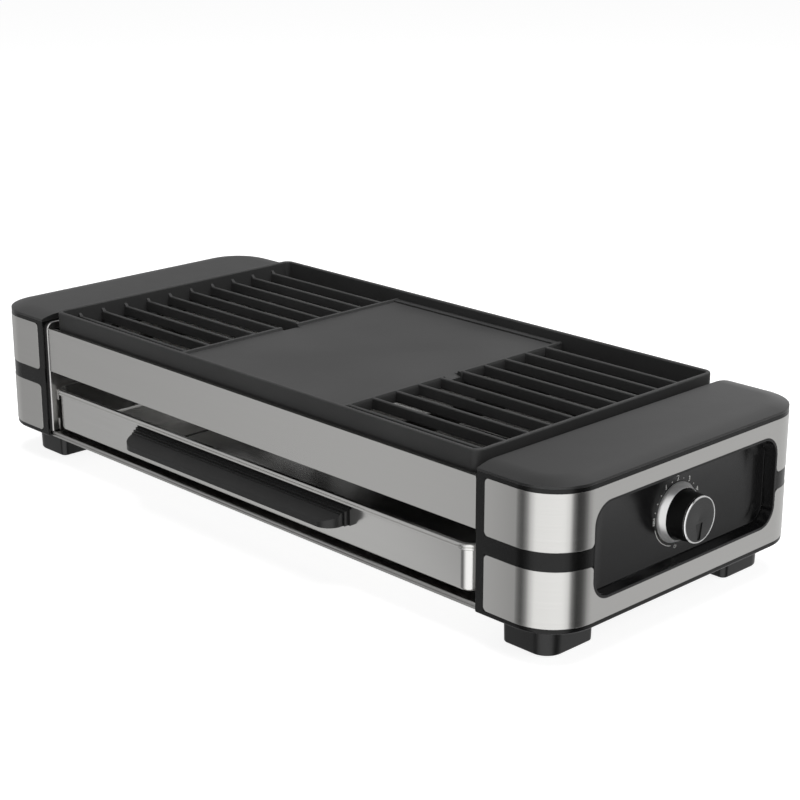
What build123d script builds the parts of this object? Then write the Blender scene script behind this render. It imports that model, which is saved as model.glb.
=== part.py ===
from build123d import *
import os

os.makedirs("parts", exist_ok=True)

# Driving sizes, all in millimetres. x runs along the grill with the knob at +x,
# the drawer opens towards -y, z is up from the soles of the feet.

# End housings
body_length = 588
body_depth = 250
housing_width = 65
housing_corner = 33
housing_wall = 3
foot_height = 23.2
bottom_margin = 3.7
band_height = 36.8
belt_height = 12.3
top_margin = 2.8
bottom_round = 1.5

# Steel bands let into the housings
band_sheet = 0.8
band_proud = 0.2
band_margin = 6.8
band_corner = 3
band_fit = 0.15

# Top covers
cover_edge = 1.6
crown_rise = 2.8
crown_width = 16
crown_steps = 4
cover_hollow = 1.4
cover_hollow_inset = 9
lip_depth = 4
lip_wall = 1.5
lip_fit = 0.2

# Base plates, posts and their screws
base_sheet = 3
base_fit = 0.2
post_radius = 5
inner_post_height = 30
outer_post_height = 9
post_spread = 115.5
outer_post_spread = 70
small_screw_radius = 1.5
small_head_radius = 3.3
small_head_height = 1.5
small_screw_length = 8
screw_fit = 0.1

# Feet
foot_width = 39.6
foot_length = 44
foot_inset = 19.7
foot_front_inset = 16.8
foot_back_inset = 13
foot_big_round = 13
foot_round = 5
foot_sole_round = 1.5
foot_taper = 1.5
pad_radius = 10
pad_thickness = 2.6
pad_proud = 0.6
pad_fit = 0.1
foot_web = 7
foot_screw_radius = 2
foot_head_radius = 4
foot_head_height = 2.6
foot_boss_radius = 5
foot_boss_height = 8

# Control window and panel
window_width = 180
window_height = 60
window_corner = 13
window_depth = 10.5
window_rise = 1.2
panel_draw = 1
panel_border_height = 1.8
panel_border_up = 3.6
panel_border_across = 9
panel_wall = 2.5
panel_fit = 0.15
panel_rim = 1.6

# Knob, its ring and its spindle
knob_drop = 0.75
knob_proud = 8
knob_gap = 1
knob_base_radius = 16.4
knob_face_radius = 15.5
knob_wall = 1.8
knob_web = 1.7
knob_boss_radius = 6.5
knob_bore_end = 0.2
trim_width = 1
trim_depth = 1.8
insert_thickness = 1.5
insert_dish = 0.6
insert_fit = 0.05
pointer_start = 2.8
pointer_end = 13.6
pointer_wide = 3.6
pointer_narrow = 1.5
pointer_depth = 0.5
ring_radius = 20
ring_depth = 5.2
ring_land = 0.5
ring_lip = 0.5
ring_fit = 0.4
spindle_radius = 3
spindle_flat = 1
spindle_fit = 0.05
spindle_grip = 11
spindle_root = 11
spindle_start = 1
clip_thickness = 0.8
clip_length = 9
clip_width = 2

# Thermostat
thermostat_depth = 26
thermostat_width = 34
thermostat_height = 36
thermostat_round = 3
neck_radius = 5
neck_length = 1
bracket_sheet = 1.7
bracket_width = 52
bracket_height = 26
bracket_round = 3
bracket_screw_spread = 21
tab_length = 7
tab_width = 6
tab_sheet = 0.8
tab_spread = 8
tab_rise = 10

# Sheet-metal chassis
sheet = 1.0
side_sheet = 1.2
hem_thickness = 2.4
hem_width = 5
hem_round = 1.1
chassis_inset = 3
side_bottom = 27.5
side_top = 114.6
side_corner = 6
floor_bead = 1.1
floor_bead_low = 24.05
floor_bead_pitch = 2.1
floor_flange = 11
panel_bottom = 76.5
panel_top = 110.5
panel_gap = 0.8
panel_flange = 3.4
back_panel_lift = 2
panel_hem = 0.9
panel_hem_proud = 0.35
panel_return = 10
panel_foot = 10
rivet_radius = 1.5
rivet_head = 2.6
rivet_head_height = 0.8
low_rivet_height = 84
high_rivet_height = 103
chassis_screw_radius = 2
chassis_head_radius = 4
chassis_head_height = 1.8
chassis_boss_length = 8
low_screw_spread = 92
low_screw_height = 45
high_screw_spread = 45
high_screw_height = 88

# Grill plate
plate_side_gap = 5.8
plate_end_gap = 7.8
plate_top = 124.1
plate_bottom = 104.4
plate_wall = 3.2
plate_corner = 7
plate_rim_round = 1.3
fin_count = 10
fin_pitch = 21.5
fin_top = 117.2
fin_height = 8
fin_width = 3.4
fin_side_angle = 87
fin_round = 1.1
fin_flare = 3.4
fin_flare_width = 2.4
fin_flare_rise = 2
ridge_outer = 87.5
ridge_width = 3.6
ridge_slope = 20
griddle_drop = 1.9
ledge_width = 5
ledge_height = 1.3
drain_width = 15
drain_run = 3
drain_drop = 2

# Plate ledges
ledge_reach = 13.8
ledge_length = 200
ledge_leg = 5
ledge_notch = 9.3
rest_gap = 0.2

# Heating element
element_radius = 3.25
element_height = 99.5
element_pitch = 50
element_margin = 37.8
element_bend = 24.5
element_end = 15
terminal_radius = 1.5
terminal_length = 9
bush_radius = 6.4
bush_fit = 0.05
bush_hole_fit = 0.15
bush_collar = 8
bush_collar_height = 1.5
bush_length = 8
carrier_place = 100
carrier_sheet = 1.2
carrier_height = 13.5

# Mains side
gland_proud = 3
gland_flange_radius = 9
gland_neck_radius = 5.9
gland_inner_radius = 7.5
gland_inner_length = 2.6
gland_bore = 3.7
gland_round = 1
gland_height = 50
gland_inset = 42
clamp_width = 16
clamp_length = 8
clamp_place = 102
clamp_over = 6
block_width = 20
block_length = 22
block_height = 14
block_round = 2
block_place = 55
wire_radius = 1.1
wire_bend = 5
wire_rise = 106
wire_place = 19
fuse_radius = 3.5
fuse_length = 18
fuse_round = 0.8
fuse_drop = 10

# Drip tray
tray_side_gap = 5.8
tray_front_inset = 4.5
tray_back_inset = 17
tray_bottom = 31
tray_top = 63.5
tray_sheet = 1.0
tray_corner = 10
tray_foot_round = 2.5
tray_rim_reach = 2.6
tray_bead = 2.05
tray_bead_round = 0.95
tray_rib_place = 137.4
tray_rib_width = 6
tray_rib_height = 0.8
tray_rib_run = 2
rail_sheet = 1.0
rail_reach = 4.8
rail_leg = 8
rail_front_inset = 10
rail_back_inset = 25

# Tray handle
handle_half = 115.5
handle_lip_half = 112.5
handle_reach = 19.5
handle_bottom = 47
handle_lip = 5
handle_lip_rise = 2.2
handle_tab = 1.6
handle_tab_depth = 3.2
handle_shoulder_depth = 6.4
handle_top_gap = 0.2
handle_steps = 4
handle_step_start = 1.6
handle_step_run = 2.4
handle_step_rise = 1
handle_lip_edge = 1.2
handle_lip_corner = 11.5
handle_hole_height = 53.5
handle_screw_spread = 70
handle_screw_radius = 2
handle_screw_head = 4
handle_screw_head_height = 1.6
handle_screw_depth = 4.5
handle_grip_wall = 2.5
handle_grip_depth = 2.5

# Heights and reaches worked out from the sizes above
half_length = body_length / 2
half_depth = body_depth / 2
housing_inner = half_length - housing_width
chassis_front = half_depth - chassis_inset
lower_band = foot_height + bottom_margin
upper_band = lower_band + band_height + belt_height
seam = upper_band + band_height + top_margin
cover_top = seam + cover_edge + crown_rise
base_top = foot_height + base_sheet
window_middle = (lower_band + upper_band + band_height) / 2 + window_rise
knob_height = window_middle - knob_drop
window_floor = half_length - window_depth
panel_back = window_floor - panel_wall
knob_face = half_length + knob_proud
knob_back = window_floor + knob_gap
trim_back = knob_face - trim_depth
side_inner = housing_inner - side_sheet
panel_half = housing_inner - hem_thickness - panel_gap
plate_half = side_inner - plate_side_gap
plate_half_depth = half_depth - plate_end_gap
plate_inner = plate_half - plate_wall
plate_inner_depth = plate_half_depth - plate_wall
fin_bottom = fin_top - fin_height
griddle_top = fin_top - griddle_drop
fin_rows = [(row - (fin_count - 1) / 2) * fin_pitch for row in range(fin_count)]
element_rows = [(row - 1.5) * element_pitch for row in range(4)]
element_reach = side_inner - element_margin
tray_half = side_inner - tray_side_gap
tray_front = half_depth - tray_front_inset
tray_back = half_depth - tray_back_inset
rail_front = half_depth - rail_front_inset
rail_back = half_depth - rail_back_inset
tray_rim_under = tray_top - 2 * tray_bead
rail_top = tray_rim_under - rest_gap
ledge_top = plate_bottom - rest_gap
handle_front = tray_front + handle_reach
handle_top = tray_rim_under - handle_top_gap

# The origin lies under the middle of the box that holds the knob, handle and gland too
row_x = knob_proud / 2
row_y = (gland_proud + half_depth - handle_front) / 2


def level(height):
    """A plane at a height, centred on the body."""
    return Plane((-row_x, -row_y, height))


def facing_front(depth):
    """An upright plane across the grill: local x along it, local y up, normal to the front."""
    return Plane((-row_x, depth - row_y, 0), x_dir=(1, 0, 0), z_dir=(0, -1, 0))


def facing_end(reach):
    """An upright plane at one end: local x to the back, local y up, normal to the knob end."""
    return Plane((reach - row_x, -row_y, 0), x_dir=(0, 1, 0), z_dir=(1, 0, 0))


middle_of_length = facing_end(0)
middle_of_depth = facing_front(0)
knob_axis = Axis((-row_x, -row_y, knob_height), (1, 0, 0))
finished = {}


def other_end(piece):
    """The same piece at the other end of the grill."""
    with BuildPart() as twin:
        mirror(piece.part, about=middle_of_length)
    return twin


def slab(x_low, x_high, y_low, y_high, z_low, z_high, mode=Mode.ADD):
    """A plain block between three pairs of limits, added to the open part."""
    with BuildSketch(level(z_low)) as outline:
        with Locations(((x_low + x_high) / 2, (y_low + y_high) / 2)):
            Rectangle(x_high - x_low, y_high - y_low)
    extrude(outline.sketch, amount=z_high - z_low, mode=mode)


def end_plan(inset, start=0):
    """Plan of an end housing drawn in by inset, with its straight inner side moved by start."""
    low = housing_inner + start
    high = half_length - inset
    with Locations(((low + high) / 2, 0)):
        Rectangle(high - low, 2 * (half_depth - inset))
    fillet(vertices().group_by(Axis.X)[-1], housing_corner - inset)


def upright_pins(places, radius, low, height, mode=Mode.ADD):
    """Round upright pins or holes at places."""
    with BuildSketch(level(low)) as outline:
        with Locations(*places):
            Circle(radius)
    extrude(outline.sketch, amount=height, mode=mode)


def end_pins(places, radius, reach, length, mode=Mode.ADD):
    """Round pins or holes along the grill, at places given as depth and height."""
    with BuildSketch(facing_end(reach)) as outline:
        with Locations(*places):
            Circle(radius)
    extrude(outline.sketch, amount=length, mode=mode)


def window_outline(grow, stretch=0):
    """The control window's outline, grown all round and then stretched across."""
    with Locations((0, window_middle)):
        RectangleRounded(
            window_width + 2 * (grow + stretch),
            window_height + 2 * grow,
            window_corner + grow,
        )


# Where screws, posts, wires and pins stand
inner_post = housing_inner + housing_wall + post_radius - 0.5
outer_post = half_length - band_proud - housing_wall - post_radius + 0.5
post_places = [(inner_post, -post_spread), (inner_post, post_spread)]
outer_post_places = [(outer_post, -outer_post_spread), (outer_post, outer_post_spread)]
foot_x = half_length - foot_inset - foot_width / 2
foot_front = half_depth - foot_front_inset - foot_length / 2
foot_back = half_depth - foot_back_inset - foot_length / 2
foot_places = [(foot_x, -foot_front), (foot_x, foot_back)]
chassis_screw_places = [
    (-low_screw_spread, low_screw_height),
    (low_screw_spread, low_screw_height),
    (-high_screw_spread, high_screw_height),
    (high_screw_spread, high_screw_height),
]
handle_holes = [
    (-handle_screw_spread, handle_hole_height),
    (handle_screw_spread, handle_hole_height),
]
element_ends = [(element_rows[0], element_height), (element_rows[3], element_height)]
gland_x = half_length - gland_inset


# Steel bands: a sheet wraps the front, the rounded end and the back of each housing
def band_ring(low, high, outer_inset, inner_inset, start):
    with BuildPart() as ring:
        with BuildSketch(level(low)):
            end_plan(outer_inset, start)
        extrude(amount=high - low)
        with BuildSketch(level(low)):
            end_plan(inner_inset, start)
        extrude(amount=high - low, mode=Mode.SUBTRACT)
    return ring


def band(low, windowed, lug_group, gland):
    blank = band_ring(low, low + band_height, 0, band_sheet, band_margin)
    with BuildPart() as strip:
        add(blank.part)
        fillet(edges().filter_by(Axis.Y).group_by(Axis.X)[0], band_corner)
        if windowed:
            with BuildSketch(facing_end(half_length - 2 * band_sheet)):
                window_outline(panel_rim + panel_fit)
            extrude(amount=3 * band_sheet, mode=Mode.SUBTRACT)
            short = edges().filter_by(Axis.X).filter_by(lambda edge: edge.length < 2 * band_sheet)
            fillet(short.group_by(Axis.Z)[lug_group], band_corner)
        if gland:
            with BuildSketch(facing_front(half_depth + 1)):
                with Locations((gland_x, gland_height)):
                    Circle(gland_neck_radius + panel_fit)
            extrude(amount=3 * band_sheet, mode=Mode.SUBTRACT)
    return strip


finished["band_upper_right"] = band(upper_band, True, 0, False)
finished["band_lower_right"] = band(lower_band, True, -1, True)
finished["band_upper_left"] = other_end(band(upper_band, False, 0, False))
finished["band_lower_left"] = other_end(band(lower_band, False, -1, False))


# End housings: moulded shells, open above and below, with shallow pockets for the bands
def housing(windowed):
    with BuildPart() as shell:
        with BuildSketch(level(foot_height)):
            end_plan(band_proud)
        extrude(amount=seam - foot_height)
        fillet(faces().sort_by(Axis.Z)[0].edges(), bottom_round)
        with BuildSketch(level(foot_height)):
            end_plan(band_proud + housing_wall, housing_wall)
        extrude(amount=seam - foot_height, mode=Mode.SUBTRACT)
        if windowed:
            with BuildSketch(facing_front(half_depth + housing_wall)):
                with Locations((gland_x, gland_height)):
                    Circle(gland_neck_radius + screw_fit)
            extrude(amount=3 * housing_wall, mode=Mode.SUBTRACT)
        for low in (lower_band, upper_band):
            pocket = band_ring(
                low - band_fit,
                low + band_height + band_fit,
                -band_proud,
                band_sheet,
                band_margin - band_fit,
            )
            add(pocket.part, mode=Mode.SUBTRACT)
        upright_pins(post_places, post_radius, base_top, inner_post_height)
        upright_pins(outer_post_places, post_radius, base_top, outer_post_height)
        upright_pins(
            post_places + outer_post_places,
            small_screw_radius + screw_fit,
            base_top,
            small_screw_length,
            Mode.SUBTRACT,
        )
        end_pins(
            chassis_screw_places,
            post_radius,
            housing_inner + housing_wall / 2,
            housing_wall / 2 + chassis_boss_length,
        )
        end_pins(
            chassis_screw_places,
            chassis_screw_radius + screw_fit,
            housing_inner,
            housing_wall + chassis_boss_length,
            Mode.SUBTRACT,
        )
        if windowed:
            with BuildSketch(facing_end(half_length - 2 * housing_wall)):
                window_outline(panel_rim + panel_fit)
            extrude(amount=3 * housing_wall, mode=Mode.SUBTRACT)
            end_pins(
                element_ends,
                bush_radius + bush_hole_fit,
                housing_inner,
                housing_wall,
                Mode.SUBTRACT,
            )
    return shell


finished["housing_right"] = housing(True)
finished["housing_left"] = other_end(housing(False))


# Top covers: crowned lids that drop into the housings on a locating lip
def top_cover():
    with BuildPart() as lid:
        with BuildSketch(level(seam)):
            end_plan(band_proud)
        extrude(amount=cover_edge)
        for step in range(crown_steps + 1):
            share = step / crown_steps
            rise = crown_rise * (1 - (1 - share) ** 2)
            with BuildSketch(level(seam + cover_edge + rise)):
                end_plan(band_proud + crown_width * share)
        loft()
        lip_inset = band_proud + housing_wall + lip_fit
        with BuildSketch(level(seam - lip_depth)):
            end_plan(lip_inset, housing_wall + lip_fit)
        extrude(amount=lip_depth)
        with BuildSketch(level(seam - lip_depth)):
            end_plan(lip_inset + lip_wall, housing_wall + lip_fit + lip_wall)
        extrude(amount=lip_depth, mode=Mode.SUBTRACT)
        with BuildSketch(level(seam)):
            end_plan(cover_hollow_inset, housing_wall + lip_fit + lip_wall)
        extrude(amount=cover_hollow, mode=Mode.SUBTRACT)
    return lid


finished["top_cover_right"] = top_cover()
finished["top_cover_left"] = other_end(finished["top_cover_right"])


# Base plates: flat lids let into the underside, with bosses for the feet
def base_plate():
    with BuildPart() as plate:
        gap = housing_wall + base_fit
        with BuildSketch(level(foot_height)):
            end_plan(band_proud + gap, gap)
        extrude(amount=base_sheet)
        upright_pins(foot_places, foot_boss_radius, base_top, foot_boss_height)
        upright_pins(
            foot_places,
            foot_screw_radius + screw_fit,
            foot_height,
            base_sheet + foot_boss_height,
            Mode.SUBTRACT,
        )
        heads = post_places + outer_post_places
        upright_pins(
            heads, small_screw_radius + screw_fit, foot_height, base_sheet, Mode.SUBTRACT
        )
        upright_pins(
            heads,
            small_head_radius + screw_fit,
            foot_height,
            small_head_height + screw_fit,
            Mode.SUBTRACT,
        )
    return plate


finished["base_plate_right"] = base_plate()
finished["base_plate_left"] = other_end(finished["base_plate_right"])


# Base screws: hold each base plate up against the posts
with BuildPart() as base_screws_right:
    screw_seat = foot_height + small_head_height + screw_fit
    heads = post_places + outer_post_places
    upright_pins(heads, small_head_radius, screw_seat - small_head_height, small_head_height)
    upright_pins(
        heads, small_screw_radius, screw_seat, base_top - screw_seat + small_screw_length - 1
    )
with BuildPart() as base_screws:
    add(base_screws_right.part)
    mirror(base_screws_right.part, about=middle_of_length)
finished["base_screws"] = base_screws


# Feet: moulded blocks with a rubber pad in a pocket and a screw up the middle
def foot(x_side, y_side):
    middle = (foot_x, -foot_front if y_side < 0 else -foot_back)
    with BuildPart() as block:
        with BuildSketch(level(foot_height)):
            with Locations(middle):
                Rectangle(foot_width, foot_length)
            corners = vertices().sort_by(lambda corner: corner.X - corner.Y)
            fillet(corners[-1], foot_big_round)
            fillet(vertices().sort_by(lambda corner: corner.X - corner.Y)[:3], foot_round)
        extrude(amount=-(foot_height - pad_proud), taper=foot_taper)
        fillet(faces().sort_by(Axis.Z)[0].edges(), foot_sole_round)
        upright_pins(
            [middle],
            pad_radius + pad_fit,
            pad_proud,
            pad_thickness - pad_proud,
            Mode.SUBTRACT,
        )
        upright_pins(
            [middle],
            foot_head_radius + screw_fit,
            pad_proud,
            foot_height - foot_web - pad_proud,
            Mode.SUBTRACT,
        )
        upright_pins(
            [middle],
            foot_screw_radius + screw_fit,
            pad_proud,
            foot_height - pad_proud,
            Mode.SUBTRACT,
        )
    with BuildPart() as placed:
        piece = block.part
        if x_side < 0:
            piece = piece.mirror(middle_of_length)
        if y_side > 0:
            piece = piece.mirror(middle_of_depth)
        add(piece)
    return placed


for x_side, end_name in ((-1, "left"), (1, "right")):
    for y_side, depth_name in ((-1, "front"), (1, "back")):
        finished[f"foot_{depth_name}_{end_name}"] = foot(x_side, y_side)

all_feet = [(side * foot_x, place) for side in (-1, 1) for place in (-foot_front, foot_back)]

with BuildPart() as foot_pads:
    upright_pins(all_feet, pad_radius, 0, pad_thickness)
finished["foot_pads"] = foot_pads

with BuildPart() as foot_screws:
    foot_seat = foot_height - foot_web
    upright_pins(all_feet, foot_head_radius, foot_seat - foot_head_height, foot_head_height)
    upright_pins(
        all_feet, foot_screw_radius, foot_seat, foot_web + base_sheet + foot_boss_height - 1
    )
finished["foot_screws"] = foot_screws


# Control panel: a glossy tub in the window of the right housing, with a sloped border
bracket_screws = [(-bracket_screw_spread, knob_height), (bracket_screw_spread, knob_height)]
border_reach = window_floor + panel_border_height
border_stretch = panel_border_up - panel_border_across
with BuildPart() as control_panel:
    with BuildSketch(facing_end(panel_back)):
        window_outline(panel_rim)
    extrude(amount=half_length - panel_back)
    with BuildSketch(facing_end(window_floor)):
        window_outline(-panel_draw - panel_border_up, border_stretch)
    with BuildSketch(facing_end(border_reach)):
        window_outline(-panel_draw)
    with BuildSketch(facing_end(half_length)):
        window_outline(0)
    loft(ruled=True, mode=Mode.SUBTRACT)
    end_pins([(0, knob_height)], neck_radius + panel_fit, panel_back, panel_wall, Mode.SUBTRACT)
    end_pins(
        bracket_screws,
        small_screw_radius,
        panel_back,
        panel_wall - 1,
        Mode.SUBTRACT,
    )
finished["control_panel"] = control_panel


def turned(points):
    """A body turned about the knob's axis from points given as reach and radius."""
    with BuildSketch(facing_front(0)) as outline:
        with BuildLine():
            Polyline(*[(reach, knob_height + radius) for reach, radius in points], close=True)
        make_face()
    revolve(outline.sketch, axis=knob_axis)


# Dial ring: a chromed collar fixed to the panel round the knob, sloped in to its front
ring_bore = knob_base_radius + ring_fit
ring_front = window_floor + ring_depth
with BuildPart() as dial_ring:
    with BuildSketch(facing_front(0)):
        with BuildLine():
            ring_base = (window_floor, knob_height + ring_radius)
            ring_shoulder = (window_floor + ring_land, knob_height + ring_radius)
            ring_edge = (ring_front, knob_height + ring_bore + ring_lip)
            Polyline(
                ring_base,
                ring_shoulder,
                ring_edge,
                (ring_front - ring_lip, knob_height + ring_bore),
                (window_floor, knob_height + ring_bore),
                ring_base,
            )
        make_face()
    revolve(axis=knob_axis)
finished["dial_ring"] = dial_ring

# Knob body: a tapered cap with a boss that grips the spindle
flat_start = knob_back + spindle_start
spindle_tip = flat_start + spindle_grip
knob_inner_base = knob_base_radius - knob_wall
knob_inner_face = knob_face_radius - knob_wall
web_back = trim_back - knob_web
with BuildPart() as knob_body:
    turned(
        [
            (knob_back, knob_inner_base),
            (knob_back, knob_base_radius),
            (trim_back, knob_face_radius),
            (trim_back, 0),
            (spindle_tip + knob_bore_end, 0),
            (spindle_tip + knob_bore_end, spindle_radius + spindle_fit),
            (flat_start, spindle_radius + spindle_fit),
            (flat_start, knob_boss_radius),
            (web_back, knob_boss_radius),
            (web_back, knob_inner_face),
        ]
    )
finished["knob_body"] = knob_body

# Knob trim: the bright ring round the knob's face
trim_inner = knob_face_radius - trim_width
with BuildPart() as knob_trim:
    turned(
        [
            (trim_back, trim_inner),
            (trim_back, knob_face_radius),
            (knob_face - trim_width / 2, knob_face_radius),
            (knob_face, knob_face_radius - trim_width / 3),
            (knob_face, trim_inner),
        ]
    )
finished["knob_trim"] = knob_trim

# Knob insert: a dished disc with a wedge-shaped pointer sunk in it
insert_radius = trim_inner - insert_fit
with BuildPart() as knob_insert:
    with BuildSketch(facing_front(0)):
        with BuildLine():
            back = (trim_back, knob_height)
            back_edge = (trim_back, knob_height + insert_radius)
            front_edge = (trim_back + insert_thickness, knob_height + insert_radius)
            front = (trim_back + insert_thickness - insert_dish, knob_height)
            Line(back, back_edge)
            Line(back_edge, front_edge)
            dish_radius = (insert_radius**2 + insert_dish**2) / (2 * insert_dish)
            RadiusArc(front_edge, front, dish_radius)
            Line(front, back)
        make_face()
    revolve(axis=knob_axis)
    with BuildSketch(facing_end(trim_back + insert_thickness - insert_dish - pointer_depth)):
        with BuildLine():
            Polyline(
                (-pointer_wide, knob_height - pointer_start),
                (pointer_wide, knob_height - pointer_start),
                (pointer_narrow, knob_height - pointer_end),
                (-pointer_narrow, knob_height - pointer_end),
                close=True,
            )
        make_face()
    extrude(amount=insert_thickness, mode=Mode.SUBTRACT)
finished["knob_insert"] = knob_insert

# Spindle: runs in the thermostat's neck and carries the knob on a flat
spindle_back = panel_back - bracket_sheet - spindle_root
flat_height = knob_height + spindle_radius - spindle_flat
with BuildPart() as thermostat_spindle:
    end_pins([(0, knob_height)], spindle_radius, spindle_back, spindle_tip - spindle_back)
    slab(
        flat_start,
        spindle_tip,
        -spindle_radius,
        spindle_radius,
        flat_height,
        knob_height + spindle_radius,
        Mode.SUBTRACT,
    )
finished["thermostat_spindle"] = thermostat_spindle

with BuildPart() as knob_clip:
    slab(
        flat_start + spindle_start,
        flat_start + spindle_start + clip_length,
        -clip_width / 2,
        clip_width / 2,
        flat_height,
        flat_height + clip_thickness,
    )
finished["knob_clip"] = knob_clip

# Thermostat: its case, neck and tabs behind the panel, on a bracket
bracket_back = panel_back - bracket_sheet
case_back = bracket_back - thermostat_depth
tab_top = knob_height + tab_rise
with BuildPart() as thermostat_body:
    with BuildSketch(facing_end(case_back)):
        with Locations((0, knob_height)):
            RectangleRounded(thermostat_width, thermostat_height, thermostat_round)
    extrude(amount=thermostat_depth)
    end_pins([(0, knob_height)], neck_radius, bracket_back, bracket_sheet + neck_length)
    for side in (-1, 1):
        slab(
            case_back - tab_length,
            case_back,
            side * tab_spread - tab_width / 2,
            side * tab_spread + tab_width / 2,
            tab_top - tab_sheet,
            tab_top,
        )
    end_pins(
        [(0, knob_height)],
        spindle_radius + spindle_fit,
        spindle_back,
        panel_back + neck_length - spindle_back,
        Mode.SUBTRACT,
    )
finished["thermostat_body"] = thermostat_body

with BuildPart() as thermostat_bracket:
    with BuildSketch(facing_end(bracket_back)):
        with Locations((0, knob_height)):
            RectangleRounded(bracket_width, bracket_height, bracket_round)
    extrude(amount=bracket_sheet)
    end_pins([(0, knob_height)], neck_radius + screw_fit, bracket_back, bracket_sheet, Mode.SUBTRACT)
    end_pins(
        bracket_screws, small_screw_radius + screw_fit, bracket_back, bracket_sheet, Mode.SUBTRACT
    )
finished["thermostat_bracket"] = thermostat_bracket

with BuildPart() as thermostat_screws:
    end_pins(bracket_screws, small_head_radius, bracket_back - small_head_height, small_head_height)
    end_pins(bracket_screws, small_screw_radius, bracket_back, bracket_sheet + panel_wall - 1)
finished["thermostat_screws"] = thermostat_screws


# Side sheets: the steel cheeks of the chassis, hemmed along the front, top and back
def side_wall(windowed):
    with BuildPart() as wall:
        with BuildSketch(facing_end(housing_inner - hem_thickness)):
            with Locations((0, (side_bottom + side_top) / 2)):
                Rectangle(2 * chassis_front, side_top - side_bottom)
            fillet(vertices().group_by(Axis.Y)[-1], side_corner)
        extrude(amount=hem_thickness)
        rim = faces().sort_by(Axis.X)[0].edges().sort_by(Axis.Z)
        fillet(rim[1:], hem_round)
        with BuildSketch(facing_end(housing_inner - hem_thickness)):
            with Locations((0, (side_bottom + side_top - hem_width) / 2)):
                Rectangle(2 * (chassis_front - hem_width), side_top - side_bottom - hem_width)
        extrude(amount=hem_thickness - side_sheet, mode=Mode.SUBTRACT)
        end_pins(
            chassis_screw_places,
            chassis_screw_radius + screw_fit,
            side_inner,
            side_sheet,
            Mode.SUBTRACT,
        )
        rivets = [(-y_place, height) for y_place, height in rivet_places]
        end_pins(
            rivets + rivet_places, rivet_radius + screw_fit, side_inner, side_sheet, Mode.SUBTRACT
        )
        if windowed:
            end_pins(
                element_ends, bush_radius + bush_hole_fit, side_inner, side_sheet, Mode.SUBTRACT
            )
    return wall


rivet_depth = chassis_front - panel_return - panel_foot / 2
rivet_places = [(rivet_depth, low_rivet_height), (rivet_depth, high_rivet_height)]
finished["side_sheet_right"] = side_wall(True)
finished["side_sheet_left"] = other_end(side_wall(False))

with BuildPart() as chassis_screws_right:
    head_face = side_inner - chassis_head_height
    end_pins(chassis_screw_places, chassis_head_radius, head_face, chassis_head_height)
    end_pins(
        chassis_screw_places,
        chassis_screw_radius,
        side_inner,
        side_sheet + housing_wall + chassis_boss_length - 1,
    )
with BuildPart() as chassis_screws:
    add(chassis_screws_right.part)
    mirror(chassis_screws_right.part, about=middle_of_length)
finished["chassis_screws"] = chassis_screws

# Chassis floor: a sheet with a double-rolled hem front and back and turned-up sides
floor_low = floor_bead_low + floor_bead
floor_depth = chassis_front - floor_bead
with BuildPart() as chassis_floor:
    slab(-side_inner, side_inner, -floor_depth, floor_depth, floor_low, floor_low + sheet)
    with BuildSketch(facing_end(-side_inner)):
        for side in (-1, 1):
            for step in range(2):
                with Locations((side * floor_depth, floor_bead_low + step * floor_bead_pitch)):
                    Circle(floor_bead)
    extrude(amount=2 * side_inner)
    for side in (-1, 1):
        low_x, high_x = sorted((side * side_inner, side * (side_inner - sheet)))
        slab(
            low_x, high_x, -rail_front, rail_back - sheet, floor_low + sheet, floor_low + floor_flange
        )
finished["chassis_floor"] = chassis_floor


# Front and back panels: brushed steel, hemmed along the top and joggled in to the side sheets
def panel(bottom, front):
    with BuildPart() as face_sheet:
        outer = chassis_front
        inner = chassis_front - sheet
        slab(-panel_half, panel_half, -outer, -inner, bottom, panel_top - sheet)
        slab(-panel_half, panel_half, -outer, -outer + panel_flange, panel_top - sheet, panel_top)
        slab(
            -panel_half,
            panel_half,
            -outer - panel_hem_proud,
            -outer,
            panel_top - panel_hem,
            panel_top,
        )
        front_edges = edges().filter_by(Axis.X).group_by(Axis.Z)[-1].sort_by(Axis.Y)[0]
        fillet(front_edges, panel_hem_proud)
        slab(-panel_half, panel_half, -inner, -inner + panel_flange, bottom, bottom + sheet)
        for side in (-1, 1):
            limits = sorted((side * panel_half, side * (panel_half - sheet)))
            slab(*limits, -inner, -outer + panel_return + sheet, bottom, panel_top - sheet)
            limits = sorted((side * (panel_half - sheet), side * side_inner))
            joggle = -outer + panel_return
            slab(*limits, joggle, joggle + sheet, bottom, panel_top - 2 * sheet)
            limits = sorted((side * (side_inner - sheet), side * side_inner))
            slab(*limits, joggle + sheet, joggle + panel_foot, bottom, panel_top - 2 * sheet)
        end_pins(
            [(-place, height) for place, height in rivet_places],
            rivet_radius + screw_fit,
            -side_inner,
            2 * side_inner,
            Mode.SUBTRACT,
        )
    if front:
        return face_sheet
    with BuildPart() as back_sheet:
        mirror(face_sheet.part, about=middle_of_depth)
    return back_sheet


finished["front_panel"] = panel(panel_bottom, True)
finished["back_panel"] = panel(floor_low + sheet + back_panel_lift, False)

with BuildPart() as corner_rivets:
    rivets = rivet_places + [(-place, height) for place, height in rivet_places]
    rivet_back = side_inner - sheet
    end_pins(rivets, rivet_head, rivet_back - rivet_head_height, rivet_head_height)
    end_pins(rivets, rivet_radius, rivet_back, sheet + side_sheet)
with BuildPart() as panel_rivets:
    add(corner_rivets.part)
    mirror(corner_rivets.part, about=middle_of_length)
finished["panel_rivets"] = panel_rivets

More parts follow.
